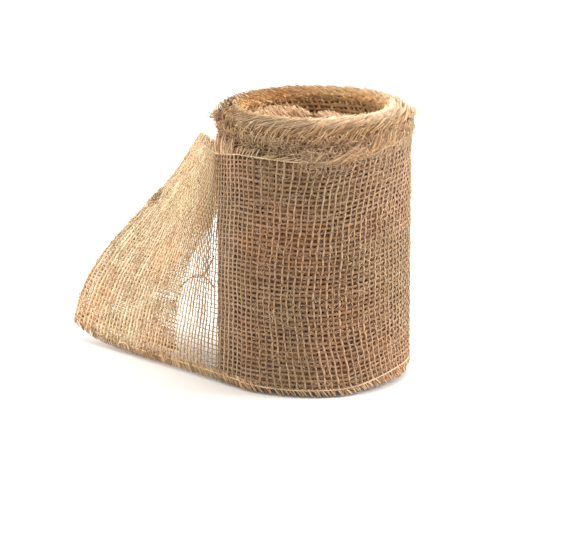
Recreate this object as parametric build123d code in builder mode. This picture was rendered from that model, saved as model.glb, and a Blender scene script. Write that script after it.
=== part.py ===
"""Coreless roll of natural jute burlap ribbon, standing on end with its free end folded back.

The strip is one long piece of open-weave cloth, modelled turn by turn because each turn can slip on
the next.  The frame's origin is the roll's axis at floor level, +Z up the axis, -Y towards the front.
Lengths are in millimetres and angles in degrees, counter-clockwise seen from above.
"""

import os
from math import cos, exp, hypot, radians, sin

from build123d import *

# The strip
STRIP_WIDTH = 140.0  # 5.5 in burlap ribbon, fringed edges included
CLOTH = 0.85  # thickness of one layer
EDGE_TO_STITCH = 4.2  # from the fringe's tips to the lock-stitch that holds the edge yarns
THREAD = 0.5  # lock-stitch thread, standing on the cloth's outer face
THREAD_HEIGHT = 0.9

# The wound turns, telescoped upwards out of the outer wrap
TURN_COUNT = 10
TURN_PITCH = 1.15
TURN_OUTER_RADIUS = 52.4  # the largest wound turn
RIM_HEIGHT = 159.0
SLUMPED_RIMS = (7.0, 2.5)  # how far the two largest turns' rims lie below the others

# The outer wrap: one loose turn that spirals in over the turn beneath it
PEEL_ANGLE = -138.0  # where the tail leaves the roll at floor level
WRAP_SWEEP = 359.0
WRAP_START_RADIUS = 56.0
WRAP_END_RADIUS = 54.8
WRAP_TOP_SWELL = (1.4, -30.0, 20.0)  # the top edge swells left of the front: height, place and reach
WRAP_TOP_RISE = 7.5  # and climbs towards the right
WRAP_HEM_LIFT = 6.0  # the bottom edge is lifted clear of the floor on the right
UNDER_RADIUS = 53.6  # the turn beneath, level with the wrap and hidden by it
UNDER_HEIGHT = 137.5

# The inner end of the strip, curled up inside the eye
COIL_CENTRE = (-6.5, -12.5)
COIL_OUTER_RADIUS = 26.5
COIL_RISE = (13.0, 12.0, 11.0)  # floor to lower edge, for the outer, middle and inner coil turn
COIL_END_SWEEP = 300.0  # the innermost coil turn stops short of closing

# The tail: off the roll, along the floor, round a leaning fold and part of the way back
TAIL_HUG = 33.0  # how much further round the roll the top edge hugs before it leaves
TAIL_TOP = (141.0, 135.2)  # height of the top edge at the peel, and where it leaves the roll
FLOOR_GAP = 0.7
FOLD_LINE = (  # Bezier poles of the leaning fold, from its foot up
    Vector(-141.6, 73.4, 8.4),
    Vector(-138.0, 75.4, 55.8),
    Vector(-91.0, 82.7, 74.5),
    Vector(-66.4, 98.1, 120.2),
)
FOLD_RADIUS = 2.6
CUT_END = (  # Bezier poles of the strip's cut end, on the layer behind
    Vector(-79.0, 30.0, 1.0),
    Vector(-84.0, 31.0, 42.0),
    Vector(-66.0, 51.0, 88.0),
    Vector(-24.0, 63.0, 106.0),
)
RETURN_SAG = 5.0
SEAM_GAP = 0.8  # between neighbouring stretches of the tail

os.makedirs("parts", exist_ok=True)


def polar(radius, angle, height=0.0):
    return Vector(radius * cos(radians(angle)), radius * sin(radians(angle)), height)


def spiral(start_radius, end_radius, start_angle, sweep, steps=36):
    """Points along a spiral, evenly spaced in angle."""
    return [
        polar(start_radius + (end_radius - start_radius) * i / steps, start_angle + sweep * i / steps)
        for i in range(steps + 1)
    ]


def save(builder, label):
    builder.part.label = label
    export_step(builder.part, f"parts/{label}.step")


def wrap_band(inner_offset, outer_offset, low, high):
    """A band that follows the outer wrap, between two radial offsets from its outer face."""
    with BuildPart() as band:
        with BuildSketch(Plane.XY.offset(low)):
            with BuildLine():
                outside = Spline(
                    *spiral(
                        WRAP_START_RADIUS + outer_offset,
                        WRAP_END_RADIUS + outer_offset,
                        PEEL_ANGLE,
                        WRAP_SWEEP,
                    )
                )
                inside = Spline(
                    *spiral(
                        WRAP_START_RADIUS + inner_offset,
                        WRAP_END_RADIUS + inner_offset,
                        PEEL_ANGLE,
                        WRAP_SWEEP,
                    )
                )
                Line(outside @ 0, inside @ 0)
                Line(outside @ 1, inside @ 1)
            make_face()
        extrude(amount=high - low)
    return band.part


def top_edge(x):
    """Height of the wrap's top edge, seen from the front."""
    swell, place, reach = WRAP_TOP_SWELL
    climb = min(max((x + 3.0) / (1.15 * WRAP_START_RADIUS), 0.0), 1.0)
    rise = WRAP_TOP_RISE * climb * climb * (3.0 - 2.0 * climb)
    return STRIP_WIDTH + swell * exp(-(((x - place) / reach) ** 2)) + rise


def below_top_edge(offset, depth):
    """Everything below a line that follows the wrap's top edge, seen from the front."""
    reach = WRAP_START_RADIUS + 8.0
    base = STRIP_WIDTH - offset
    places = [reach * (i / 5 - 1.0) for i in range(11)]
    with BuildPart() as cutter:
        with BuildSketch(Plane.XZ.offset(-reach)):
            with BuildLine():
                edge = Spline(*[(x, top_edge(x) - offset) for x in places])
                Polyline(edge @ 0, (-reach, base - depth), (reach, base - depth), edge @ 1)
            make_face()
        extrude(amount=2 * reach)
    return cutter.part


def hem_cutter(base, depth=10.0):
    """Everything below the bottom edge where it lifts off the floor on the right."""
    half_span = 0.86 * WRAP_START_RADIUS
    with BuildPart() as cutter:
        with BuildSketch(Plane.YZ):
            with BuildLine():
                arch = Spline(
                    (-half_span, base),
                    (-0.4 * half_span, base + 0.72 * WRAP_HEM_LIFT),
                    (0.15 * half_span, base + WRAP_HEM_LIFT),
                    (half_span, base),
                )
                Polyline(arch @ 0, (-half_span, base - depth), (half_span, base - depth), arch @ 1)
            make_face()
        extrude(amount=WRAP_START_RADIUS + 8.0)
    return cutter.part


def above_hem(base, height=20.0):
    """Everything above a line that follows the bottom edge all round."""
    reach = 2.0 * (WRAP_START_RADIUS + 4.0)
    with BuildPart() as filler:
        with Locations((0, 0, base)):
            Box(reach, reach, height, align=(Align.CENTER, Align.CENTER, Align.MIN))
        add(hem_cutter(base), mode=Mode.SUBTRACT)
    return filler.part


# Outer wrap

with BuildPart() as outer_wrap:
    add(wrap_band(-CLOTH, 0.0, 0.0, STRIP_WIDTH + WRAP_TOP_RISE))
    add(below_top_edge(0.0, STRIP_WIDTH + 20.0), mode=Mode.INTERSECT)
    add(hem_cutter(0.0), mode=Mode.SUBTRACT)
save(outer_wrap, "outer_wrap")

with BuildPart() as under_wrap:
    with BuildSketch():
        Circle(UNDER_RADIUS)
        Circle(UNDER_RADIUS - CLOTH, mode=Mode.SUBTRACT)
    extrude(amount=UNDER_HEIGHT)
save(under_wrap, "under_wrap")

stitch_low = STRIP_WIDTH - EDGE_TO_STITCH - 10.0
stitch_high = STRIP_WIDTH - EDGE_TO_STITCH + 10.0
with BuildPart() as wrap_stitch_top:
    add(wrap_band(0.1, 0.1 + THREAD, stitch_low, stitch_high))
    add(below_top_edge(EDGE_TO_STITCH, 40.0), mode=Mode.INTERSECT)
    add(below_top_edge(EDGE_TO_STITCH + THREAD_HEIGHT, 40.0), mode=Mode.SUBTRACT)
save(wrap_stitch_top, "wrap_stitch_top")

with BuildPart() as wrap_stitch_bottom:
    add(wrap_band(0.1, 0.1 + THREAD, EDGE_TO_STITCH, EDGE_TO_STITCH + WRAP_HEM_LIFT + 2.0))
    add(hem_cutter(EDGE_TO_STITCH), mode=Mode.SUBTRACT)
    add(above_hem(EDGE_TO_STITCH + THREAD_HEIGHT), mode=Mode.SUBTRACT)
save(wrap_stitch_bottom, "wrap_stitch_bottom")

# Wound turns, from the largest inwards

for index in range(TURN_COUNT):
    slump = SLUMPED_RIMS[index] if index < len(SLUMPED_RIMS) else 0.0
    outer_radius = TURN_OUTER_RADIUS - TURN_PITCH * index
    with BuildPart() as turn:
        with BuildSketch(Plane.XY.offset(RIM_HEIGHT - slump - STRIP_WIDTH)):
            Circle(outer_radius)
            Circle(outer_radius - CLOTH, mode=Mode.SUBTRACT)
        extrude(amount=STRIP_WIDTH)
        rim = turn.edges().filter_by(GeomType.CIRCLE).group_by(Axis.Z)[-1]
        fillet(rim, radius=0.4 * CLOTH)
    save(turn, f"turn_{index + 1:02d}")

# Coil turns inside the eye

for index, rise in enumerate(COIL_RISE):
    outer_radius = COIL_OUTER_RADIUS - TURN_PITCH * index
    with BuildPart() as coil:
        with BuildSketch(Plane.XY.offset(rise)):
            with Locations(COIL_CENTRE):
                Circle(outer_radius)
                Circle(outer_radius - CLOTH, mode=Mode.SUBTRACT)
            if index == len(COIL_RISE) - 1:
                gap = 360.0 - COIL_END_SWEEP
                mouth = [COIL_CENTRE]
                for angle in (0.0, 0.5 * gap, gap):
                    corner = Vector(*COIL_CENTRE) + polar(2.0 * COIL_OUTER_RADIUS, angle - 90.0)
                    mouth.append((corner.X, corner.Y))
                with BuildLine():
                    Polyline(*mouth, close=True)
                make_face(mode=Mode.SUBTRACT)
        extrude(amount=STRIP_WIDTH)
    save(coil, f"coil_turn_{index + 1}")


# Tail


def lerp(start, end, share):
    return start + (end - start) * share


def bezier(poles, share):
    """A point of a cubic Bezier curve."""
    rest = 1.0 - share
    weights = (rest**3, 3 * rest**2 * share, 3 * rest * share**2, share**3)
    return sum((pole * weight for pole, weight in zip(poles, weights)), Vector(0, 0, 0))


peel = polar(WRAP_START_RADIUS, PEEL_ANGLE)
along_floor = Vector(FOLD_LINE[0].X, FOLD_LINE[0].Y) - peel
TAIL_LENGTH = along_floor.length
TAIL_HEADING = along_floor.normalized()


def front_top(distance):
    """The tail's top edge: it hugs the roll, then runs straight back to the fold's head."""
    hug_length = radians(TAIL_HUG) * WRAP_START_RADIUS
    share = min(distance / hug_length, 1.0)
    hugging = polar(WRAP_START_RADIUS, PEEL_ANGLE - TAIL_HUG * share, TAIL_TOP[0])
    hugging.Z += (TAIL_TOP[1] - TAIL_TOP[0]) * share
    if distance <= hug_length:
        return hugging
    return lerp(hugging, FOLD_LINE[-1], (distance - hug_length) / (TAIL_LENGTH - hug_length))


def front_point(distance, share, lift=0.0):
    """A point of the front panel, a distance along the strip and a share of its width up."""
    run = distance / TAIL_LENGTH
    foot = peel + TAIL_HEADING * distance
    foot.Z = FLOOR_GAP + (FOLD_LINE[0].Z - FLOOR_GAP) * run**10
    bow = bezier(FOLD_LINE, share) - lerp(FOLD_LINE[0], FOLD_LINE[-1], share)
    point = lerp(foot, front_top(distance), share) + bow * run**2
    if lift:
        along = front_point(distance + 1.0, share) - front_point(distance - 1.0, share)
        across = front_point(distance, share + 0.01) - front_point(distance, share - 0.01)
        point += along.cross(across).normalized() * -lift
    return point


def fold_frame(share):
    """The strip's heading as it reaches the fold, and the direction to the layer behind."""
    heading = (front_point(TAIL_LENGTH, share) - front_point(TAIL_LENGTH - 4.0, share)).normalized()
    above = bezier(FOLD_LINE, min(share + 0.02, 1.0))
    up = (above - bezier(FOLD_LINE, max(share - 0.02, 0.0))).normalized()
    return heading, heading.cross(up).normalized()


def fold_point(turn, share):
    """A point of the fold, turned between 0 at the front panel and 180 at the layer behind."""
    heading, behind = fold_frame(share)
    centre = bezier(FOLD_LINE, share) + behind * FOLD_RADIUS
    return centre - behind * FOLD_RADIUS * cos(radians(turn)) + heading * FOLD_RADIUS * sin(radians(turn))


def return_point(run, share):
    """A point of the layer behind, a share of the way from the fold to the cut end."""
    sag = fold_frame(share)[1] * 4.0 * RETURN_SAG * run * (1.0 - run) * share
    return lerp(fold_point(180.0, share), bezier(CUT_END, share), run) + sag


def cloth_sheet(rows, thickness):
    """A thin solid on both sides of a smooth surface through rows of points."""
    surface = Face.make_surface_from_array_of_points(rows)
    with BuildPart() as sheet:
        thicken(surface, amount=0.5 * thickness, both=True)
    return sheet


shares = [i / 8 for i in range(9)]

start = SEAM_GAP
stop = TAIL_LENGTH - SEAM_GAP
distances = [start + (stop - start) * i / 16 for i in range(17)]
tail_front = cloth_sheet([[front_point(d, s, CLOTH / 2) for s in shares] for d in distances], CLOTH)
save(tail_front, "tail_front")

for label, share in (("tail_stitch_bottom", EDGE_TO_STITCH / STRIP_WIDTH), ("tail_stitch_top", 0.96)):
    thread_shares = [share + THREAD_HEIGHT / STRIP_WIDTH * i / 3 for i in range(4)]
    lift = CLOTH + 0.1 + THREAD / 2
    stitch = cloth_sheet([[front_point(d, s, lift) for s in thread_shares] for d in distances], THREAD)
    save(stitch, label)

tail_fold = cloth_sheet([[fold_point(12 + 156 * i / 6, s) for s in shares] for i in range(7)], CLOTH)
save(tail_fold, "tail_fold")

tail_return = cloth_sheet([[return_point(0.01 + 0.99 * i / 8, s) for s in shares] for i in range(9)], CLOTH)
save(tail_return, "tail_return")

print("free height of the rim above the wrap", RIM_HEIGHT - STRIP_WIDTH)
print("eye radius", TURN_OUTER_RADIUS - TURN_PITCH * (TURN_COUNT - 1) - CLOTH)
print("coil reach", hypot(*COIL_CENTRE) + COIL_OUTER_RADIUS)
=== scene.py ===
"""Coreless roll of jute burlap ribbon, standing on end, woven yarn by yarn.

The strip's geometry is worked out in millimetres in the frame of the CAD model and written in metres.
A place on a strip is given by s, the distance along it, and v, the height across it.  On the roll s
runs clockwise seen from above, so strands that lean towards negative s lean to the right in front.
"""

from math import pi, radians
from typing import NamedTuple

import bpy
import numpy as np
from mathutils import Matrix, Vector


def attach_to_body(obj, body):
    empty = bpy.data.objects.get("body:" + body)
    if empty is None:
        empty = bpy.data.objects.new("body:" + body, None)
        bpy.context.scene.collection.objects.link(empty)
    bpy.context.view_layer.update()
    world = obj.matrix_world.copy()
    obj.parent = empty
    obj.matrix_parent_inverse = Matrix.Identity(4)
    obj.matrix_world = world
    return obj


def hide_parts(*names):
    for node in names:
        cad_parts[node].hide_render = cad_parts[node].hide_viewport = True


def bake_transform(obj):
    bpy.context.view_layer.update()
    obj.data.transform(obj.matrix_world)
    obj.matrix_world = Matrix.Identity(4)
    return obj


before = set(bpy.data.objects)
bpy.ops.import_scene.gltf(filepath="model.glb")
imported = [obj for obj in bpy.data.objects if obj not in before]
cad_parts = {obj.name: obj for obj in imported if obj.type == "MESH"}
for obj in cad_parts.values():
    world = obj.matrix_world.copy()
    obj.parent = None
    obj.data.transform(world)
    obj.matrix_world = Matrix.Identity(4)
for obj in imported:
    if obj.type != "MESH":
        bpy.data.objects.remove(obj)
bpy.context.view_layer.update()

# ---------------------------------------------------------------- dimensions, in millimetres

MM = 0.001
STRIP_WIDTH = 140.0
CLOTH = 0.85  # thickness
EDGE = 4.2  # from the fringe's tips to the lock-stitch
ROWS = 49  # lengthwise yarns
ROW_PITCH = (STRIP_WIDTH - 2 * EDGE) / (ROWS - 1)
COLUMN_PITCH = 3.7  # between cross yarns
TAIL_COLUMN_PITCH = 3.1  # they lie closer together in the tail
TAIL_CLOSE_FROM = 30.0  # from this far along it
TAIL_COLUMNS_FROM = -5.3  # its first cross yarn, before they are spread
ROW_SIZE = (0.68, 0.34)  # half the width and half the depth of a flattened yarn
COLUMN_SIZE = (0.50, 0.38)
PROUD = 0.15  # the cross yarns stand a little proud of the others
CRIMP = 0.34  # how far a yarn rises and falls as it passes over and under
TAIL_CRIMP = 0.2
STITCH_LENGTH = 3.7  # of the lock-stitch
THREAD_SIZE = (0.34, 0.28)  # half its width and half its depth
THREAD_LIFT = 0.70  # off the middle of the cloth

WRAP_RADIUS = 56.0  # of the outer wrap, where the tail leaves it
WRAP_TUCK = 1.2  # how much the outer wrap's radius falls over one turn
PEEL_ANGLE = -138.0  # degrees around the roll, where the tail leaves the wrap
WRAP_LENGTH = 345.0
TOP_SWELL = (1.4, -30.0, 20.0)  # of the wrap's top edge: height, place and reach
TOP_RISE = 7.5  # how far the top edge climbs on the right
HEM_LIFT = 6.0  # how far the bottom edge is off the floor on the right
UNDER_RADIUS = 53.6  # of the turn beneath
UNDER_HEIGHT = 137.5
UNDER_FOOT = 0.5

TURN_RADIUS = 52.4  # of the outermost wound turn
TURN_PITCH = 1.15
TURN_COUNT = 10
RIM_HEIGHT = 159.0
SLUMPED_RIMS = (7.0, 2.5)  # how far below it the two outermost turns have slipped

COIL_CENTRE = (-6.5, -12.5)
COIL_RADIUS = 26.5
COIL_RISE = (13.0, 12.0, 11.0)  # each coil turn's foot above the floor
COIL_END_SWEEP = 300.0  # degrees, of the last one

TAIL_HUG = 33.0  # degrees for which the tail's top edge clings to the roll
TAIL_TOP = (141.0, 135.2)  # its height where that starts and ends
FLOOR_GAP = 0.7
# poles of the fold's curve and of the cut end's, from the foot up
FOLD_LINE = np.array([(-141.6, 73.4, 8.4), (-138.0, 75.4, 55.8), (-91.0, 82.7, 74.5), (-66.4, 98.1, 120.2)])
FOLD_RADIUS = 2.6
FOLD_LENGTH = pi * FOLD_RADIUS
CUT_END = np.array([(-79.0, 30.0, 1.0), (-84.0, 31.0, 42.0), (-66.0, 51.0, 88.0), (-24.0, 63.0, 106.0)])
RETURN_SAG = 5.0
RETURN_LENGTH = 84.0
FILLS_OUT = (55.0, 105.0)  # along the tail, where its yarns grow fuller
RETURN_FULLER = 0.14  # the layer behind is fuller still
WORN_REACH = 34.0  # how far its wear reaches back from the cut end
WORN_BY = 0.55  # and how much yarn is gone there

rng = np.random.default_rng(7)


# ---------------------------------------------------------------- where the cloth lies


def lerp(start, end, share):
    return start + (end - start) * share[..., None]


def smooth(low, high, value):
    t = np.clip((value - low) / (high - low), 0.0, 1.0)
    return t * t * (3.0 - 2.0 * t)


def unit(vectors):
    return vectors / np.maximum(np.linalg.norm(vectors, axis=-1, keepdims=True), 1e-9)


def polar(radius, angle, height):
    angle = np.asarray(angle, float)
    return np.stack([radius * np.cos(angle), radius * np.sin(angle), height + 0.0 * angle], axis=-1)


def bezier(poles, share):
    """Points of a cubic Bezier curve."""
    t = np.asarray(share, float)[..., None]
    rest = 1.0 - t
    return rest**3 * poles[0] + 3 * rest**2 * t * poles[1] + 3 * rest * t**2 * poles[2] + t**3 * poles[3]


PEEL = polar(WRAP_RADIUS, radians(PEEL_ANGLE), 0.0)
ALONG_FLOOR = (FOLD_LINE[0] - PEEL) * (1.0, 1.0, 0.0)
TAIL_LENGTH = np.linalg.norm(ALONG_FLOOR)
HEADING = ALONG_FLOOR / TAIL_LENGTH
PAST_FOLD = TAIL_LENGTH + FOLD_LENGTH
STRIP_END = PAST_FOLD + RETURN_LENGTH


def hem_height(angle):
    """The bottom edge is lifted clear of the floor on the right."""
    return HEM_LIFT * smooth(0.25, 0.95, np.cos(angle)) * (1.0 - 0.25 * np.sin(angle) ** 2)


def top_edge(x):
    """The top edge swells left of the front, and climbs towards the right."""
    swell, place, reach = TOP_SWELL
    climb = TOP_RISE * smooth(-3.0, 1.15 * WRAP_RADIUS - 3.0, x)
    return STRIP_WIDTH + swell * np.exp(-(((x - place) / reach) ** 2)) + climb


def wrap_point(s, share):
    """The outer wrap: s is 0 where the tail leaves it and negative around the roll."""
    angle = radians(PEEL_ANGLE) - s / WRAP_RADIUS
    inset = CLOTH / 2 * np.clip(-s / 30.0, 0.0, 1.0)
    slack = 0.35 * np.sin(3.0 * angle + 2.2 * share) + 0.25 * np.sin(5.0 * angle - 3.0 * share + 1.0)
    radius = WRAP_RADIUS + WRAP_TUCK * s / (2 * pi * WRAP_RADIUS) - inset + slack * smooth(0, 40, -s)
    foot = hem_height(angle)
    head = top_edge(WRAP_RADIUS * np.cos(angle))
    return polar(radius, angle, foot + (head - foot) * share)


def front_top(distance):
    """The tail's top edge: it hugs the roll, then runs straight back to the fold's head."""
    hug = radians(TAIL_HUG)
    hug_length = hug * WRAP_RADIUS
    share = np.clip(distance / hug_length, 0.0, 1.0)
    hugging = polar(WRAP_RADIUS, radians(PEEL_ANGLE) - hug * share, TAIL_TOP[0])
    hugging[..., 2] += (TAIL_TOP[1] - TAIL_TOP[0]) * share
    leaving = polar(WRAP_RADIUS, radians(PEEL_ANGLE) - hug, TAIL_TOP[1])
    free = lerp(leaving, FOLD_LINE[3], (distance - hug_length) / (TAIL_LENGTH - hug_length))
    return np.where((distance <= hug_length)[..., None], hugging, free)


def front_point(distance, share):
    """The tail's front panel, from the roll to the fold."""
    run = distance / TAIL_LENGTH
    foot = PEEL + HEADING * distance[..., None]
    foot[..., 2] = FLOOR_GAP + (FOLD_LINE[0][2] - FLOOR_GAP) * np.clip(run, 0.0, 1.1) ** 10
    bow = bezier(FOLD_LINE, share) - lerp(FOLD_LINE[0], FOLD_LINE[3], share)
    return lerp(foot, front_top(distance), share) + bow * (run**2)[..., None]


def fold_frame(share):
    """At the fold: a point of it, the strip's heading there, and the direction to the layer behind."""
    end = np.full_like(share, TAIL_LENGTH)
    corner = bezier(FOLD_LINE, share)
    heading = unit(front_point(end, share) - front_point(end - 4.0, share))
    up = unit(bezier(FOLD_LINE, share + 0.02) - bezier(FOLD_LINE, share - 0.02))
    return corner, heading, unit(np.cross(heading, up))


def fold_point(turn, share):
    corner, heading, behind = fold_frame(share)
    return (
        corner
        + behind * (FOLD_RADIUS * (1.0 - np.cos(turn)))[..., None]
        + heading * (FOLD_RADIUS * np.sin(turn))[..., None]
    )


def return_point(run, share):
    """The layer behind, from the fold to the cut end."""
    behind = fold_frame(share)[2]
    sag = behind * (4.0 * RETURN_SAG * run * (1.0 - run) * share)[..., None]
    return lerp(fold_point(np.full_like(share, pi), share), bezier(CUT_END, share), run) + sag


def strip_surface(s, v):
    """The last stretch of the strip: outer wrap, front panel, fold and the layer behind."""
    s, v = np.broadcast_arrays(np.asarray(s, float), np.asarray(v, float))
    share = v / STRIP_WIDTH
    point = np.empty(s.shape + (3,))
    for inside, stretch in (
        (s < 0, wrap_point),
        ((s >= 0) & (s < TAIL_LENGTH), front_point),
        ((s >= TAIL_LENGTH) & (s < PAST_FOLD), lambda s, up: fold_point((s - TAIL_LENGTH) / FOLD_RADIUS, up)),
        (s >= PAST_FOLD, lambda s, up: return_point((s - PAST_FOLD) / RETURN_LENGTH, up)),
    ):
        if inside.any():
            point[inside] = stretch(s[inside], share[inside])
    return point


def under_surface(s, v):
    """The turn beneath the outer wrap, level with it."""
    s, v = np.broadcast_arrays(np.asarray(s, float), np.asarray(v, float))
    radius = UNDER_RADIUS - CLOTH / 2
    return polar(radius, -s / radius, UNDER_FOOT + (UNDER_HEIGHT - UNDER_FOOT) * v / STRIP_WIDTH)


def ring_surface(radius, foot, centre=(0.0, 0.0), uneven=0.15, start=0.0, flare=0.0, dip=None):
    """A wound turn: s runs clockwise around it, as on the outer wrap.

    flare opens the top edge outwards.  dip = (angle, half width, depth, tilt) lowers the top edge in
    one place and tilts it down to the right.
    """

    def surface(s, v):
        s, v = np.broadcast_arrays(np.asarray(s, float), np.asarray(v, float))
        angle = start - s / radius
        wave = uneven * (np.sin(3 * angle + radius) + 0.7 * np.sin(5 * angle + 0.02 * v + 2 * radius))
        opened = flare * smooth(STRIP_WIDTH - 13.0, STRIP_WIDTH, v)
        height = foot + v
        if dip is not None:
            off = (angle - dip[0] + pi) % (2 * pi) - pi
            sunk = dip[2] * np.exp(-((off / dip[1]) ** 2)) + dip[3] * np.cos(angle)
            height = height - sunk * smooth(100.0, STRIP_WIDTH, v)
        point = polar(radius + wave + opened, angle, height)
        point[..., 0] += centre[0]
        point[..., 1] += centre[1]
        return point

    return surface


def normals(surface, s, v):
    along = surface(s + 0.4, v) - surface(s - 0.4, v)
    across = surface(s, v + 0.4) - surface(s, v - 0.4)
    return unit(np.cross(across, along))


# ---------------------------------------------------------------- yarns


def hashed(index, salt):
    """A repeatable number from 0 to 1 for each yarn."""
    return np.modf(np.abs(np.sin(np.asarray(index, float) * 12.9898 + salt * 78.233) * 43758.5453))[0]


def drift(s, v):
    """How far cross yarns wander along the strip: they bow on the roll's front and waver everywhere."""
    bow = -8.0 * ((v - 62.0) / 70.0) ** 2 * smooth(5.0, 45.0, -s)
    waver = 1.0 * np.sin(0.031 * v + 0.017 * s + 0.6) + 0.6 * np.sin(0.085 * v - 0.037 * s + 2.0)
    return bow + waver + 0.25 * np.sin(0.21 * v + 0.09 * s)


def slant(s, v):
    """On the telescoped turns the cross yarns also lean to the right towards the rim."""
    return drift(s, v) - 0.4 * np.maximum(v - 118.0, 0.0)


def tail_drift(s, v):
    """Cross yarns are spread a little where the tail still lies along the roll."""
    return drift(s, v) + (COLUMN_PITCH / TAIL_COLUMN_PITCH - 1.0) * np.minimum(s - TAIL_CLOSE_FROM, 0.0)


def evenly(s, v):
    return 1.0


def worn(s):
    """Behind the fold both sets of yarns fill out a little more, then thin towards the cut end."""
    fuller = RETURN_FULLER * smooth(PAST_FOLD, STRIP_END - WORN_REACH, s)
    thinner = (WORN_BY + RETURN_FULLER) * smooth(STRIP_END - WORN_REACH, STRIP_END, s)
    return 1.0 + fuller - thinner


def tail_row_fullness(s, v):
    """The tail's lengthwise yarns are thin where it leaves the roll, and full at the hem and the fold."""
    thin = 0.68 * smooth(0.0, 30.0, s) * smooth(2.0, 24.0, v)
    return (1.0 - thin + 0.60 * smooth(*FILLS_OUT, s)) * worn(s)


def tail_column_fullness(s, v):
    return (1.0 + 0.12 * smooth(0.0, 40.0, s) + 0.38 * smooth(*FILLS_OUT, s)) * worn(s)


def tail_paleness(s):
    """The tail takes the paler set of colours and the roll keeps the browner one, changing between 12 and 74
    mm along the tail.
    """
    return smooth(12.0, 74.0, s)


def tail_shading(s):
    """Painted shade: the cross yarns are darkened where the tail hangs free of the roll in a single layer."""
    return -0.30 * smooth(14.0, 34.0, s) * (1.0 - smooth(50.0, 85.0, s))


def no_shading(s):
    return 0.0


def tubes(paths, sides_up, half_width, half_depth, sides):
    """Closed tubes along (yarn, point, xyz) paths, flattened towards the directions in sides_up."""
    tangent = unit(np.gradient(paths, axis=1))
    across = unit(np.cross(tangent, sides_up))
    up = np.cross(across, tangent)
    turn = np.linspace(0, 2 * pi, sides, endpoint=False)
    yarns, points = paths.shape[:2]
    width = np.broadcast_to(half_width, (yarns, points))[..., None, None]
    depth = np.broadcast_to(half_depth, (yarns, points))[..., None, None]
    ring = (
        paths[:, :, None]
        + across[:, :, None] * np.cos(turn)[:, None] * width
        + up[:, :, None] * np.sin(turn)[:, None] * depth
    )
    index = np.arange(yarns * points * sides).reshape(yarns, points, sides)
    ahead = np.roll(index, -1, axis=2)
    quads = np.stack([index[:, :-1], ahead[:, :-1], ahead[:, 1:], index[:, 1:]], axis=-1).reshape(-1, 4)
    caps = np.concatenate([index[:, 0, ::-1], index[:, -1]])
    return ring.reshape(-1, 3), quads, caps


def link_mesh(name, points, faces, material):
    mesh = bpy.data.meshes.new(name)
    mesh.from_pydata((points * MM).tolist(), [], faces)
    mesh.update()
    mesh.polygons.foreach_set("use_smooth", np.ones(len(mesh.polygons), bool))
    mesh.materials.append(material)
    obj = bpy.data.objects.new(name, mesh)
    bpy.context.collection.objects.link(obj)
    return obj


def build(name, parts, material, tints, pales=None):
    """One mesh from several sets of tubes; tints and pales hold a value from 0 to 1 for each point."""
    vertices, faces, shades, base = [], [], [], 0
    for (points, quads, caps), tint in zip(parts, tints):
        vertices.append(points)
        faces.extend((quads + base).tolist())
        faces.extend((caps + base).tolist())
        shades.append(np.repeat(tint.reshape(-1), caps.shape[1]))
        base += len(points)
    obj = link_mesh(name, np.concatenate(vertices), faces, material)
    shade = obj.data.attributes.new("shade", "FLOAT", "POINT")
    shade.data.foreach_set("value", np.concatenate(shades).astype(np.float32))
    if pales is not None:
        values = [np.repeat(pale.reshape(-1), part[2].shape[1]) for part, pale in zip(parts, pales)]
        pale = obj.data.attributes.new("pale", "FLOAT", "POINT")
        pale.data.foreach_set("value", np.concatenate(values).astype(np.float32))
    return obj


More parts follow.
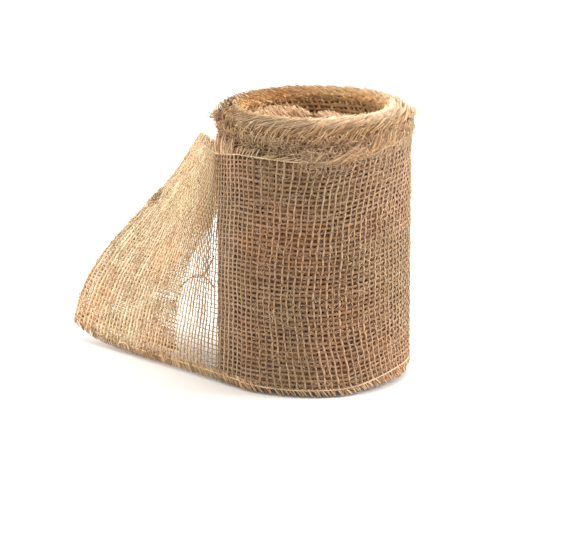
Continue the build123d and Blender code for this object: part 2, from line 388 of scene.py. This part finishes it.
def weave(
    name,
    surface,
    start,
    stop,
    material,
    pitch=COLUMN_PITCH,
    columns_from=None,
    wander=drift,
    fullness=(evenly, evenly),
    paleness=None,
    shading=no_shading,
    crimp=CRIMP,
    row_size=ROW_SIZE,
    column_size=COLUMN_SIZE,
    skipped=(),
    clipped=False,
    steps=(1.25, 1.4),
    sides=5,
    salt=1.0,
):
    """Plain weave over a stretch of a strip: lengthwise yarns in rows, cross yarns in columns.

    skipped rows are left out, clipped keeps wandering columns inside the stretch, and columns_from
    starts them elsewhere, for a wander that then spreads them over the stretch.
    """
    rows = np.array([row for row in range(ROWS) if row not in skipped])[:, None]
    s = np.linspace(start, stop, max(2, int((stop - start) / steps[0])) + 1)[None, :]
    v = EDGE + rows * ROW_PITCH + 0.3 * np.sin(0.07 * s + 0.9 * rows) + 0.2 * np.sin(0.19 * s + 2.1 * rows)
    ds = s + 0.0 * v
    up = normals(surface, ds, v)
    height = crimp * np.cos(pi * (s / pitch + rows))
    paths = surface(ds, v) + up * height[..., None]
    slub = 1.0 + 0.14 * np.sin(0.23 * s + 40 * hashed(rows, salt)) + 0.10 * np.sin(1.1 * s + 9.0 * rows)
    slub = slub * (0.85 + 0.35 * hashed(rows, salt + 3)) * fullness[0](s, v)
    row_tubes = tubes(paths, up, row_size[0] * slub, row_size[1] * slub, sides)
    patches = 0.5 + 0.5 * np.sin(0.11 * s + 30 * hashed(rows, salt + 6))
    row_tint = 0.06 + 0.26 * hashed(rows, salt + 5) + 0.20 * patches
    pales = None if paleness is None else [paleness(ds)]

    first = start if columns_from is None else columns_from
    columns = np.arange(int(np.ceil(first / pitch)), int(np.ceil(stop / pitch - 1e-6)))[:, None]
    v = np.linspace(EDGE - 1.0, STRIP_WIDTH - EDGE + 1.0, int(STRIP_WIDTH / steps[1]))[None, :]
    s = columns * pitch + wander(columns * pitch, v)
    s = s + 2.0 * crimp * (hashed(columns, salt + 1) - 0.5) + 0.6 * crimp * np.sin(0.5 * v + 5 * columns)
    if clipped:
        s = np.clip(s, start, stop)
    height = -crimp * np.cos(pi * (columns + (v - EDGE) / ROW_PITCH))
    v = v + 0.0 * s
    up = normals(surface, s, v)
    paths = surface(s, v) + up * (height + PROUD)[..., None]
    slub = 1.0 + 0.14 * np.sin(0.21 * v + 50 * hashed(columns, salt + 2))
    slub = slub + 0.08 * np.sin(1.3 * v + 7 * columns)
    slub = slub * (0.85 + 0.35 * hashed(columns, salt + 4)) * fullness[1](s, v)
    column_tubes = tubes(paths, up, column_size[0] * slub, column_size[1] * slub, sides)
    patches = 0.5 + 0.5 * np.sin(0.13 * v + 30 * hashed(columns, salt + 8))
    # shading lowers the cross yarns' tint, as painted shade
    column_tint = 0.50 + 0.30 * hashed(columns, salt + 7) + 0.20 * patches + shading(s)
    if paleness is not None:
        pales.append(paleness(s))
    return build(name, [row_tubes, column_tubes], material, [row_tint, column_tint], pales)


def lock_stitch(name, surface, start, stop, material):
    """The thread that holds the edge yarns, on the outer face of the cloth, along both edges."""
    s = np.linspace(start, stop, max(4, int((stop - start) / 0.9)))
    v = np.stack([np.full_like(s, EDGE), np.full_like(s, STRIP_WIDTH - EDGE)])
    s = np.broadcast_to(s, v.shape)
    v = v + 0.2 * np.sign(np.sin(2 * pi * s / (STITCH_LENGTH / 2))) + 0.3 * np.sin(0.05 * s)
    up = normals(surface, s, v)
    lift = THREAD_LIFT + 0.12 * np.sin(2 * pi * s / STITCH_LENGTH)
    paths = surface(s, v) + up * lift[..., None]
    return build(name, [tubes(paths, up, *THREAD_SIZE, 5)], material, [0.5 + 0.3 * np.sin(0.3 * s)])


class Run(NamedTuple):
    """Strands along an edge of a strip: the ends of its cross yarns, past the lock-stitch."""

    surface: object
    start: float
    stop: float
    root: float  # height across the strip at the strands' roots
    tip: float
    lean: float  # from root to tip, along the strip
    spacing: float = 1.8
    radius: float = 0.42
    curl: float = 0.4  # how far the strands stand off the cloth
    uneven: float = 0.12
    tint: float = 0.0


def fringe(name, runs, material, sides=4, points=7, painted_shade_behind=False):
    """Strands of several runs, matted into clumps that lean and stand off together.

    If its last argument is true, shade is painted on the strands at the back of the roll: they take the
    material's darker set of colours.
    """
    parts, tints, pales = [], [], []
    for run in runs:
        count = max(2, int((run.stop - run.start) / run.spacing))
        t = np.linspace(0.0, 1.0, points)[None, :]
        s = (run.start + (np.arange(count) + 0.5) * run.spacing)[:, None]
        clump = 0.5 * np.sin(0.55 * s + run.radius * 40) + 0.5 * np.sin(1.37 * s + run.start)
        s = s + rng.normal(0, 0.25 * run.spacing, (count, 1))
        reach = 1.0 + run.uneven * (0.7 * rng.normal(0, 1, (count, 1)) + 0.7 * clump)
        v = run.root + (run.tip - run.root) * reach * t ** (1.0 + 0.3 * rng.random((count, 1)))
        lean = run.lean * (1.0 + 0.20 * rng.normal(0, 1, (count, 1)) + 0.25 * clump)
        s = s + drift(s, run.root) + lean * t**1.15 + rng.normal(0, 0.2, (count, 1)) * np.sin(3 * t)
        curl = run.curl * (1.0 + 0.6 * rng.normal(0, 1, (count, 1)) + 0.6 * clump)
        lift = curl * np.sin(0.8 * pi * t) + 0.3 * rng.normal(0, 1, (count, 1))
        up = normals(run.surface, s, v)
        paths = run.surface(s, v) + up * lift[..., None]
        thick = run.radius * (0.8 + 0.4 * rng.random((count, 1))) * (1.0 - 0.5 * t**3)
        parts.append(tubes(paths, up, thick, thick * 0.9, sides))
        tint = run.tint + 0.6 * rng.random((count, 1)) + 0.2 * (1.0 + clump)
        tints.append(np.broadcast_to(tint, (count, points)) + 0.0 * t)
        # pale is 0 at the back of the roll and 1 at the front: the back strands get painted shade
        pales.append(smooth(-0.6, 0.1, -unit(paths[..., :2])[..., 1]))
    return build(name, parts, material, tints, pales if painted_shade_behind else None)


def fuzz(name, surface, along, across, count, material, length=4.5, side=1.0, tint=0.2, thickness=0.10):
    """Loose jute fibres standing off the outer face of the cloth, or the inner one if side is -1."""
    points = 5
    t = np.linspace(0.0, 1.0, points)[None, :]
    s = rng.uniform(*along, (count, 1))
    v = rng.uniform(*across, (count, 1))
    size = length * rng.gamma(2.0, 0.5, (count, 1))
    bearing = rng.uniform(0, 2 * pi, (count, 1))
    bend = rng.normal(0, 1.2, (count, 1))
    s = s + size * np.cos(bearing + bend * t) * t
    v = np.clip(v + size * np.sin(bearing + bend * t) * t, 0.6, across[1] + 3.0)
    lift = side * (0.5 + rng.gamma(1.5, 0.5, (count, 1)) * np.sin(0.8 * pi * t))
    up = normals(surface, s, v)
    paths = surface(s, v) + up * lift[..., None]
    thick = thickness * rng.uniform(0.6, 1.4, (count, 1)) * (1.0 - 0.5 * t)
    shade = tint + 0.8 * rng.random((count, 1)) + 0.0 * t
    return build(name, [tubes(paths, up, thick, thick, 3)], material, [shade])


def backing(name, radius, foot, material, centre=(0.0, 0.0)):
    """A turn inside the pack, seen only through the weave of the turns that cover it."""
    inset, half, facets, steps = 3.0, 0.25, 120, 13
    surface = ring_surface(radius, foot + inset, centre)
    s = (np.arange(facets) * 2 * pi * radius / facets)[:, None]
    levels = np.linspace(0.0, STRIP_WIDTH - 2 * inset, steps)
    v = np.concatenate([levels, levels[::-1]])[None, :]
    lift = np.concatenate([np.full(steps, -half), np.full(steps, half)])[None, :] + 0.0 * s
    s, v = np.broadcast_arrays(s, v)
    points = surface(s, v) + normals(surface, s, v) * lift[..., None]
    index = np.arange(s.size).reshape(s.shape)
    ahead = np.roll(index, -1, axis=1)
    quads = np.stack([index, np.roll(index, -1, axis=0), np.roll(ahead, -1, axis=0), ahead], axis=-1)
    return link_mesh(name, points.reshape(-1, 3), quads.reshape(-1, 4).tolist(), material)


# ---------------------------------------------------------------- materials


def new_material(name, colour, rough):
    material = bpy.data.materials.new(name)
    material.use_nodes = True
    nodes, links = material.node_tree.nodes, material.node_tree.links
    shader = nodes["Principled BSDF"]
    shader.inputs["Base Color"].default_value = (*colour, 1.0)
    shader.inputs["Roughness"].default_value = rough
    shader.inputs["Specular IOR Level"].default_value = 0.1
    return material, nodes, links, shader


def noise(nodes, links, place, scale, detail=3.0):
    texture = nodes.new("ShaderNodeTexNoise")
    texture.inputs["Scale"].default_value = scale
    texture.inputs["Detail"].default_value = detail
    links.new(place.outputs["Object"], texture.inputs["Vector"])
    return texture.outputs["Fac"]


def ramp(nodes, links, factor, stops):
    node = nodes.new("ShaderNodeValToRGB")
    elements = node.color_ramp.elements
    elements[0].position, elements[0].color = stops[0][0], (*stops[0][1], 1.0)
    elements[1].position, elements[1].color = stops[-1][0], (*stops[-1][1], 1.0)
    for position, colour in stops[1:-1]:
        elements.new(position).color = (*colour, 1.0)
    links.new(factor, node.inputs["Fac"])
    return node.outputs["Color"]


YARN_LEVELS = (0.25, 0.48, 0.75)  # of the mixed shade, for a yarn's dark, middle and light colours


def jute(name, dark, middle, light, pale=None, hue=0.6):
    """Matt jute yarn: each yarn's own shade, patches along it, fine fibres and broad stains of hue.

    pale is a second set of dark, middle and light, taken up where the mesh's pale attribute is 1.
    """
    material, nodes, links, shader = new_material(name, middle, 0.9)
    shader.inputs["Sheen Weight"].default_value = 0.15
    shader.inputs["Sheen Roughness"].default_value = 0.6
    place = nodes.new("ShaderNodeTexCoord")
    shade = nodes.new("ShaderNodeAttribute")
    shade.attribute_name = "shade"
    fibres = noise(nodes, links, place, 900.0, 4.0)

    def blend(first, second, factor):
        node = nodes.new("ShaderNodeMix")
        node.data_type = "FLOAT"
        node.inputs[0].default_value = factor
        links.new(first, node.inputs[2])
        links.new(second, node.inputs[3])
        return node.outputs[0]

    level = blend(blend(shade.outputs["Fac"], fibres, 0.30), noise(nodes, links, place, 60.0), 0.25)
    colour = ramp(nodes, links, level, tuple(zip(YARN_LEVELS, (dark, middle, light))))

    def mix_colours(first, second, factor, blend_type="MIX"):
        node = nodes.new("ShaderNodeMix")
        node.data_type = "RGBA"
        node.blend_type = blend_type
        if isinstance(factor, float):
            node.inputs[0].default_value = factor
        else:
            links.new(factor, node.inputs[0])
        links.new(first, node.inputs[6])
        links.new(second, node.inputs[7])
        return node.outputs[2]

    if pale is not None:
        where = nodes.new("ShaderNodeAttribute")
        where.attribute_name = "pale"
        paler = ramp(nodes, links, level, tuple(zip(YARN_LEVELS, pale)))
        colour = mix_colours(colour, paler, where.outputs["Fac"])
    stains = ramp(
        nodes,
        links,
        noise(nodes, links, place, 22.0, 2.0),
        ((0.36, (0.94, 1.0, 0.90)), (0.50, (1.0, 1.0, 1.0)), (0.64, (1.10, 0.95, 0.84))),
    )
    links.new(mix_colours(colour, stains, hue, "MULTIPLY"), shader.inputs["Base Color"])
    relief = nodes.new("ShaderNodeBump")
    relief.inputs["Strength"].default_value = 0.5
    relief.inputs["Distance"].default_value = 0.0003
    links.new(fibres, relief.inputs["Height"])
    links.new(relief.outputs["Normal"], shader.inputs["Normal"])
    return material


def packed_jute_painted_shade(name, dark, light, rim):
    """Cloth deep in the roll: mottled, in colours darker than the cloth outside it as painted shade, and pale
    at the rim.
    """
    material, nodes, links, shader = new_material(name, dark, 0.95)
    place = nodes.new("ShaderNodeTexCoord")
    colour = ramp(nodes, links, noise(nodes, links, place, 420.0), ((0.35, dark), (0.65, light)))
    split = nodes.new("ShaderNodeSeparateXYZ")
    links.new(place.outputs["Object"], split.inputs["Vector"])
    height = nodes.new("ShaderNodeMapRange")
    height.inputs["From Min"].default_value = (RIM_HEIGHT - 9.0) * MM
    height.inputs["From Max"].default_value = (RIM_HEIGHT - 4.0) * MM
    links.new(split.outputs["Z"], height.inputs["Value"])
    mixed = nodes.new("ShaderNodeMix")
    mixed.data_type = "RGBA"
    links.new(height.outputs["Result"], mixed.inputs[0])
    links.new(colour, mixed.inputs[6])
    mixed.inputs[7].default_value = (*rim, 1.0)
    links.new(mixed.outputs[2], shader.inputs["Base Color"])
    return material


BROWN = ((0.167, 0.090, 0.043), (0.253, 0.149, 0.081), (0.400, 0.265, 0.161))
PALE = ((0.38, 0.240, 0.125), (0.60, 0.425, 0.250), (0.80, 0.630, 0.430))
burlap = jute("burlap", *BROWN, pale=PALE)
burlap_under = jute("burlap_under", (0.14, 0.064, 0.024), (0.25, 0.125, 0.052), (0.38, 0.215, 0.100))
burlap_inner = jute("burlap_inner", (0.28, 0.145, 0.048), (0.52, 0.305, 0.125), (0.74, 0.480, 0.230))
# painted shade: the rim's strands at the back of the roll are given these darker colours
RIM_PAINTED_SHADE = ((0.30, 0.165, 0.068), (0.48, 0.300, 0.140), (0.66, 0.465, 0.255))
RIM_FRONT = ((0.48, 0.335, 0.180), (0.66, 0.500, 0.305), (0.84, 0.700, 0.490))
rim_jute_painted_shade = jute("rim_jute_painted_shade", *RIM_PAINTED_SHADE, pale=RIM_FRONT, hue=0.3)
coil_jute = jute("coil_jute", (0.46, 0.270, 0.140), (0.68, 0.460, 0.280), (0.84, 0.640, 0.430), hue=0.3)
tier_jute = jute("tier_jute", (0.22, 0.118, 0.050), (0.40, 0.255, 0.130), (0.60, 0.430, 0.250))
fringe_jute = jute("fringe_jute", (0.24, 0.140, 0.070), (0.42, 0.280, 0.160), (0.64, 0.480, 0.310))
tail_fibre = jute("tail_fibre", *PALE, hue=0.5)
hem_jute = jute("hem_jute", (0.19, 0.098, 0.040), (0.38, 0.225, 0.112), (0.57, 0.385, 0.215))
thread_jute = jute("thread_jute", (0.36, 0.240, 0.140), (0.50, 0.360, 0.225), (0.64, 0.490, 0.330))
# painted shade: the packed turns are darker than the jute around them
packed = packed_jute_painted_shade("packed_jute_painted_shade", (0.12, 0.058, 0.024), (0.28, 0.155, 0.072), (0.44, 0.300, 0.160))

# ---------------------------------------------------------------- outer wrap and tail

# along the strip
BACK_START = -150.0  # behind here the wrap is out of sight from the front
SWEPT_UNTIL = -76.0  # to here the wrap's top edge is frayed, and from here its strands are swept over
MATTED_FROM = -39.0  # up to here
PEEL_OVERLAP = 12.0  # the tail's cloth starts this far before the peel
HAIRY_FROM = 62.0  # the tail is hairy from here on
# across it
TOP_ROOT = STRIP_WIDTH - EDGE - 0.5
GAP_ROW = ROWS - 2  # the row missing below the top edge

strip_stretches = (
    ("wrap_back", -WRAP_LENGTH, BACK_START, "wrap", "stretched"),
    ("wrap_front", BACK_START, -PEEL_OVERLAP, "wrap", "stretched"),
    ("tail_front", -PEEL_OVERLAP, TAIL_LENGTH, "tail", "folded"),
    ("tail_return", TAIL_LENGTH, STRIP_END, "tail", "folded"),
)
stand_for = {
    "wrap_front_cloth": ("outer_wrap",),
    "wrap_front_stitch": ("wrap_stitch_top", "wrap_stitch_bottom"),
    "tail_front_cloth": ("tail_front",),
    "tail_front_stitch": ("tail_stitch_top", "tail_stitch_bottom"),
    "tail_return_cloth": ("tail_return", "tail_fold"),
}
BACK_EDGE = Run(strip_surface, -WRAP_LENGTH, BACK_START, TOP_ROOT, STRIP_WIDTH, lean=-9.0, spacing=1.2)
FLAT_EDGE = BACK_EDGE._replace(
    start=MATTED_FROM,
    stop=-PEEL_OVERLAP,
    tip=STRIP_WIDTH - 2.0,
    lean=-7.0,
    spacing=1.4,
    radius=0.34,
    curl=0.1,
)
SWEPT_EDGE = BACK_EDGE._replace(
    start=SWEPT_UNTIL,
    stop=MATTED_FROM,
    root=TOP_ROOT - 2.5,
    lean=-16.0,
    spacing=0.65,
    radius=0.28,
    curl=0.8,
)
RIGHT_EDGE = BACK_EDGE._replace(
    start=BACK_START,
    stop=SWEPT_UNTIL,
    lean=-4.0,
    spacing=1.5,
    radius=0.26,
    curl=1.6,
    uneven=0.3,
)
TUFT = BACK_EDGE._replace(lean=-4.0, spacing=0.45, radius=0.27, uneven=0.25, curl=1.0, tint=0.15)
TUFT_PLACES = ((-38, 1.0, 1.0), (-73, 3.0, 3.0), (-84, 4.0, 3.5), (-127, 5.0, 6.0))  # middle, reach, rise
front_tufts = [
    TUFT._replace(start=middle - reach, stop=middle + reach, tip=STRIP_WIDTH + rise)
    for middle, reach, rise in TUFT_PLACES
]
top_edges = {
    "wrap_back": [BACK_EDGE],
    "wrap_front": [FLAT_EDGE, SWEPT_EDGE, RIGHT_EDGE] + front_tufts,
    "tail_front": [
        BACK_EDGE._replace(start=-PEEL_OVERLAP, stop=TAIL_LENGTH, lean=-3.0, radius=0.34, uneven=0.2),
        TUFT._replace(start=6.0, stop=36.0, tip=STRIP_WIDTH + 4.5, lean=-1.5, tint=0.25),
    ],
    "tail_return": [BACK_EDGE._replace(start=TAIL_LENGTH, stop=STRIP_END, lean=-3.0)],
}
tail_weave = {
    "pitch": TAIL_COLUMN_PITCH,
    "wander": tail_drift,
    "fullness": (tail_row_fullness, tail_column_fullness),
    "paleness": tail_paleness,
    "shading": tail_shading,
    "crimp": TAIL_CRIMP,
}
fuzz_counts = {"wrap_back": 500, "wrap_front": 1600, "tail_front": 2600, "tail_return": 2000}


def loose_ends():
    """What has come away: two yarns behind the tail, a loop in its hem, and fibres along its fold."""
    bow = np.linspace(0.0, 1.0, 15)
    behind = np.array([(-78.5, 34.5, 40.5), (-68.0, 20.0, 55.0), (-64.0, 12.0, 57.0), (-57.2, 2.0, 49.0)])
    stray = np.array([(-70.0, 24.0, 50.0), (-61.0, 10.0, 52.0), (-60.0, 9.0, 62.0), (-57.2, 3.0, 68.0)])
    paths = np.stack([bezier(behind, bow), bezier(stray, bow)])
    loose = tubes(paths, np.array([0.0, 0.0, 1.0]), 0.42, 0.42, 5)
    pieces = [build("tail_loose_yarns", [loose], burlap_inner, [np.full(paths.shape[:2], 0.3)])]
    s = 104.0 - 5.0 * np.cos(pi * bow)[None, :]
    v = 2.0 + 3.0 * np.sin(pi * bow)[None, :]
    up = normals(strip_surface, s, v)
    hem_loop = tubes(strip_surface(s, v) + 1.3 * up, up, 0.38, 0.38, 5)
    pieces.append(build("tail_loop", [hem_loop], fringe_jute, [np.full(s.shape, 0.95)]))
    clump = ((TAIL_LENGTH - 6.0, TAIL_LENGTH + 1.0), (94.0, 101.0))
    pieces.append(fuzz("tail_clump", strip_surface, *clump, 160, fringe_jute, length=3.2, tint=0.0))
    edge = ((TAIL_LENGTH - 3.0, PAST_FOLD), (55.0, STRIP_WIDTH))
    pieces.append(fuzz("tail_fold_fuzz", strip_surface, *edge, 600, tail_fibre, length=4.5, thickness=0.13))
    for piece in pieces:
        attach(piece, "tail")
    return pieces


def hand_over(obj, body, *replaced):
    """Burlap that rides on one body, in place of the CAD parts named."""
    if replaced:
        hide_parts(*replaced)
    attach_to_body(obj, body)


def attach(obj, body):
    """Rides on a body, except the cloth of the front panel, which bends across the peel."""
    if obj.name in stand_for:
        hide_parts(*stand_for[obj.name])
    if obj.name.startswith("tail_front_"):
        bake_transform(obj)
    else:
        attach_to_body(obj, body)
    return obj


for label, start, stop, body, held in strip_stretches:
    on_tail = body == "tail"
    cloth = weave(
        f"{label}_cloth",
        strip_surface,
        start,
        stop,
        burlap,
        skipped=(GAP_ROW,) if label == "wrap_front" else (),
        columns_from=TAIL_COLUMNS_FROM if label == "tail_front" else None,
        clipped=label == "tail_return",
        sides=5 if on_tail else 6,
        **(tail_weave if on_tail else {}),
    )
    attach(cloth, body)
    stitch = lock_stitch(f"{label}_stitch", strip_surface, start, stop, thread_jute)
    attach(stitch, body)
    hem = Run(strip_surface, start, stop, EDGE + 0.5, 0.5, lean=-3.0, radius=0.50, curl=0.3, uneven=0.04)
    if on_tail:
        hem = hem._replace(root=EDGE + 2.0, lean=-4.5, spacing=0.42, radius=0.34, curl=0.5, uneven=0.05)
    bottom = attach(fringe(f"{label}_hem", [hem], hem_jute), body)
    ends = attach(fringe(f"{label}_fringe", top_edges[label], fringe_jute if on_tail else tier_jute), body)
    spread = ((HAIRY_FROM if label == "tail_front" else start, stop), (3.0, STRIP_WIDTH - 1.0))
    hairs = fuzz(
        f"{label}_fuzz",
        strip_surface,
        *spread,
        fuzz_counts[label],
        tail_fibre if on_tail else fringe_jute,
        thickness=0.17 if on_tail else 0.10,
    )
    attach(hairs, body)
    extras = loose_ends() if label == "tail_return" else []
    if label == "wrap_front":
        edge = ((start, MATTED_FROM), (STRIP_WIDTH - 7.0, STRIP_WIDTH + 1.0))
        matting = fuzz("wrap_front_matting", strip_surface, *edge, 1300, fringe_jute, thickness=0.14)
        extras.append(attach(matting, body))

# the turn beneath: its yarns are gathered close, so little shows through
HIDDEN = {"steps": (1.85, 1.5), "sides": 4}  # cloth seen through another is drawn more coarsely
under_around = 2 * pi * (UNDER_RADIUS - CLOTH / 2)
under = weave(
    "under_wrap_cloth",
    under_surface,
    0.0,
    under_around,
    burlap_under,
    row_size=(1.16, 0.34),
    column_size=(1.14, 0.34),
    salt=20.0,
    **HIDDEN,
)
hand_over(under, "wrap", "under_wrap")
under_edge = Run(
    under_surface, 0.0, under_around, EDGE + 1.5, 1.8, lean=-3.0, spacing=0.8, radius=0.36, curl=0.5
)
under_hem = fringe("under_wrap_hem", [under_edge], hem_jute)
hand_over(under_hem, "wrap")

# ---------------------------------------------------------------- wound turns

WOVEN_TURNS = (0, 4, 5, 9)  # the turns whose faces show: the outermost and innermost of each body
RIM_DROP = (0.0, 0.0, 1.0, 0.4, 0.0, 0.0, 0.0, 0.4, 1.1, 2.2)  # the rim is rounded over
FLARES = (3.8, 3.4, 2.6, 1.6, 0.8)  # and the outer turns' edges splay outwards
TIERS = 2  # the turns whose strands show singly
STRAY_TUFTS = (-178.0, -4.0)  # angles where the second turn's strands stand well off the roll
EYE_TURNS = (8, 9)  # the turns whose strands line the eye
INNER_YARNS = {"row_size": (0.9, 0.36), "column_size": (0.8, 0.38)}
rim_runs = {"outer_tiers": [], "outer_rim": [], "inner_rim": [], "eye_rim": []}
rim_bodies = {"outer_tiers": "outer_turns", "outer_rim": "outer_turns"}
rim_materials = {"outer_tiers": tier_jute, "outer_rim": fringe_jute, "eye_rim": burlap_inner}


def rim_run(index, surface, around):
    """The two slumped turns end in rope-like strands; the others are matted into soft rims."""
    top = STRIP_WIDTH - 0.4 - RIM_DROP[index]
    run = Run(surface, 0.0, around, top - 3.6, top, -11.0, 0.5, 0.26, curl=0.2, uneven=0.25, tint=0.1)
    if index == 0:
        root = STRIP_WIDTH - 6.4
        return run._replace(root=root, lean=-4.0, spacing=1.9, radius=0.34, curl=0.3, uneven=0.2, tint=0.0)
    if index == 1:
        root = STRIP_WIDTH - 6.6
        return run._replace(root=root, lean=-6.0, spacing=1.3, radius=0.30, curl=0.3, uneven=0.3, tint=0.0)
    return run


def rim_group(index):
    if index in EYE_TURNS:
        return "eye_rim"
    if index < TIERS:
        return "outer_tiers"
    return "outer_rim" if index < TURN_COUNT // 2 else "inner_rim"


for index in range(TURN_COUNT):
    slump = SLUMPED_RIMS[index] if index < len(SLUMPED_RIMS) else 0.0
    radius = TURN_RADIUS - TURN_PITCH * index - CLOTH / 2
    foot = RIM_HEIGHT - slump - STRIP_WIDTH
    body = "outer_turns" if index < TURN_COUNT // 2 else "inner_turns"
    node = f"turn_{index + 1:02d}"
    around = 2 * pi * radius
    flare = FLARES[index] if index < len(FLARES) else 0.0
    if index in WOVEN_TURNS:
        surface = ring_surface(radius, foot, flare=flare)
        piece = weave(
            f"{node}_cloth",
            surface,
            0.0,
            around,
            burlap if index == 0 else burlap_inner,
            wander=slant,
            salt=10.0 + index,
            **HIDDEN,
            **({} if index == 0 else INNER_YARNS),
        )
    else:
        piece = backing(f"{node}_cloth", radius, foot, packed)
    hand_over(piece, body, node)
    surface = ring_surface(radius, foot, uneven=0.3, flare=flare)
    rim_runs[rim_group(index)].append(rim_run(index, surface, around))
    if index == 1:
        for angle in STRAY_TUFTS:
            s = -radians(angle) * radius
            tuft = TUFT._replace(start=s - 6.0, stop=s + 6.0, tip=STRIP_WIDTH - 1.0, curl=3.0)
            rim_runs["outer_rim"].append(tuft._replace(surface=surface))

for name, runs in rim_runs.items():
    material = rim_materials.get(name, rim_jute_painted_shade)
    sides = 4 if name == "outer_tiers" else 3
    rim = fringe(name, runs, material, sides, painted_shade_behind=material is rim_jute_painted_shade)
    hand_over(rim, rim_bodies.get(name, "inner_turns"))

first = rim_runs["outer_tiers"][0]
spread = ((0.0, first.stop), (STRIP_WIDTH - 14.0, STRIP_WIDTH - 1.0))
hairs = fuzz("outer_turns_fuzz", first.surface, *spread, 2200, tier_jute, length=3.5, thickness=0.16)
wall = rim_runs["eye_rim"][-1]
spread = ((0.0, wall.stop), (STRIP_WIDTH - 60.0, STRIP_WIDTH - 2.0))
nap = fuzz(
    "eye_wall_fuzz",
    wall.surface,
    *spread,
    4500,
    burlap_inner,
    length=3.0,
    side=-1.0,
    tint=0.0,
    thickness=0.20,
)
hand_over(hairs, "outer_turns")
hand_over(nap, "inner_turns")

# ---------------------------------------------------------------- coil in the eye

COIL_DIP = (radians(76.0), 0.15, 4.0, 2.2)  # a notch in the coil's far edge, and its tilt
coil_runs = []
for index, rise in enumerate(COIL_RISE):
    radius = COIL_RADIUS - TURN_PITCH * index - CLOTH / 2
    node = f"coil_turn_{index + 1}"
    sweep = COIL_END_SWEEP if index == len(COIL_RISE) - 1 else 360.0
    around = radians(sweep) * radius
    surface = ring_surface(radius, rise, COIL_CENTRE, uneven=0.5, start=radians(-90.0), dip=COIL_DIP)
    if index == 1:
        piece = backing(f"{node}_cloth", radius, rise, packed, COIL_CENTRE)
    else:
        piece = weave(
            f"{node}_cloth",
            surface,
            0.0,
            around,
            burlap_inner,
            salt=30.0 + index,
            **HIDDEN,
            **INNER_YARNS,
        )
    hand_over(piece, "coil", node)
    root, tip = STRIP_WIDTH - 5.0, STRIP_WIDTH + 0.5
    coil_runs.append(Run(surface, 0.0, around, root, tip, lean=-5.0, spacing=0.6, radius=0.32, curl=0.6))
coil_rim = fringe("coil_rim", coil_runs, coil_jute)
hand_over(coil_rim, "coil")

# ---------------------------------------------------------------- floor, light and camera, in metres

FLOOR_SIZE = 6.0
FLOOR_LEVEL = -0.0005  # a hair under the strands' tips
CAMERA_PLACE = (-0.01243, -2.0, 0.5653)
CAMERA_DOWN = 0.25  # radians below the horizontal

bpy.ops.mesh.primitive_plane_add(size=FLOOR_SIZE, location=(0.0, 0.0, FLOOR_LEVEL))
floor = bpy.context.object
floor.name = "floor"
floor_material = new_material("floor", (0.68, 0.64, 0.60), 0.9)[0]
floor.data.materials.append(floor_material)

world = bpy.data.worlds.new("studio")
bpy.context.scene.world = world
world.use_nodes = True
world.node_tree.nodes["Background"].inputs["Color"].default_value = (1.0, 1.0, 1.0, 1.0)
world.node_tree.nodes["Background"].inputs["Strength"].default_value = 1.0


def softbox(name, place, target, size, power):
    """A rectangular light, in watts, aimed at a point."""
    light = bpy.data.lights.new(name, "AREA")
    light.shape = "RECTANGLE"
    light.size, light.size_y = size
    light.energy = power
    obj = bpy.data.objects.new(name, light)
    bpy.context.collection.objects.link(obj)
    obj.location = place
    aim = Vector(target) - Vector(place)
    obj.rotation_euler = aim.to_track_quat("-Z", "Y").to_euler()
    return obj


softbox("key_right", (1.4, 0.05, 0.6), (0.0, 0.0, 0.08), (1.0, 1.0), 46.0)
softbox("fill_left", (-1.4, -0.2, 0.6), (0.0, 0.0, 0.08), (1.0, 1.0), 18.0)
softbox("top", (0.1, 0.2, 1.5), (0.0, 0.0, 0.1), (1.2, 1.0), 20.0)

camera_data = bpy.data.cameras.new("camera")
camera_data.lens = 220.8
camera_data.sensor_width = 36.0
camera = bpy.data.objects.new("camera", camera_data)
camera.location = CAMERA_PLACE
camera.rotation_euler = (pi / 2 - CAMERA_DOWN, 0.0, 0.0)
bpy.context.collection.objects.link(camera)
bpy.context.scene.camera = camera
bpy.context.scene.view_settings.view_transform = "Standard"
